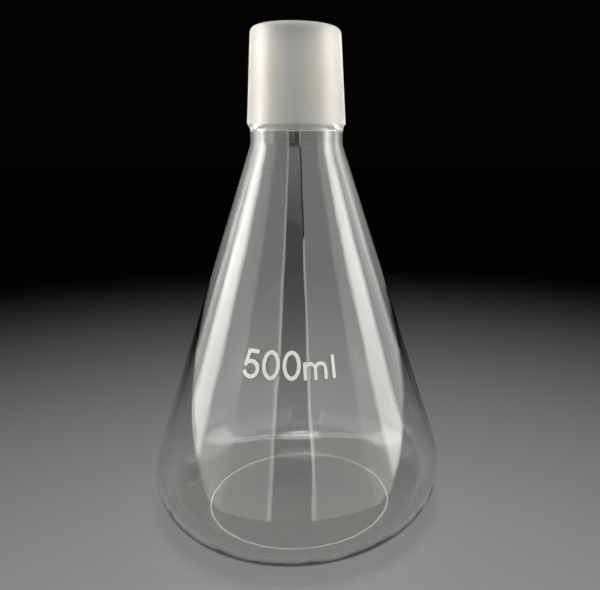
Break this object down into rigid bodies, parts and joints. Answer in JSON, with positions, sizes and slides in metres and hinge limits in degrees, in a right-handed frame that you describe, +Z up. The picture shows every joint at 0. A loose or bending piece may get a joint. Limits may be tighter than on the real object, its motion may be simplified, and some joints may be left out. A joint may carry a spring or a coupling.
{
  "type": "conical laboratory flask",
  "caption": "Clear glass conical flask with a flat ringed base, a narrow neck that ends in a frosted male ground cone, and a white printed capacity mark.",
  "frame": {"origin": "middle of the base, on the bench plane that the foot ring stands on", "axes": "+Z up along the flask's axis; the capacity print faces -Y"},
  "size_m": [0.105, 0.105, 0.175],
  "materials": {
    "clear_glass": "clear blown borosilicate, fire-polished",
    "ground_glass": "frosted by grinding on the outside of the cone",
    "white_enamel": "matt fired enamel"
  },
  "bodies": {
    "root": {"flask_body": "clear_glass", "ground_cone": "ground_glass", "capacity_digits": "white_enamel", "capacity_unit": "white_enamel"}
  },
  "joints": []
}
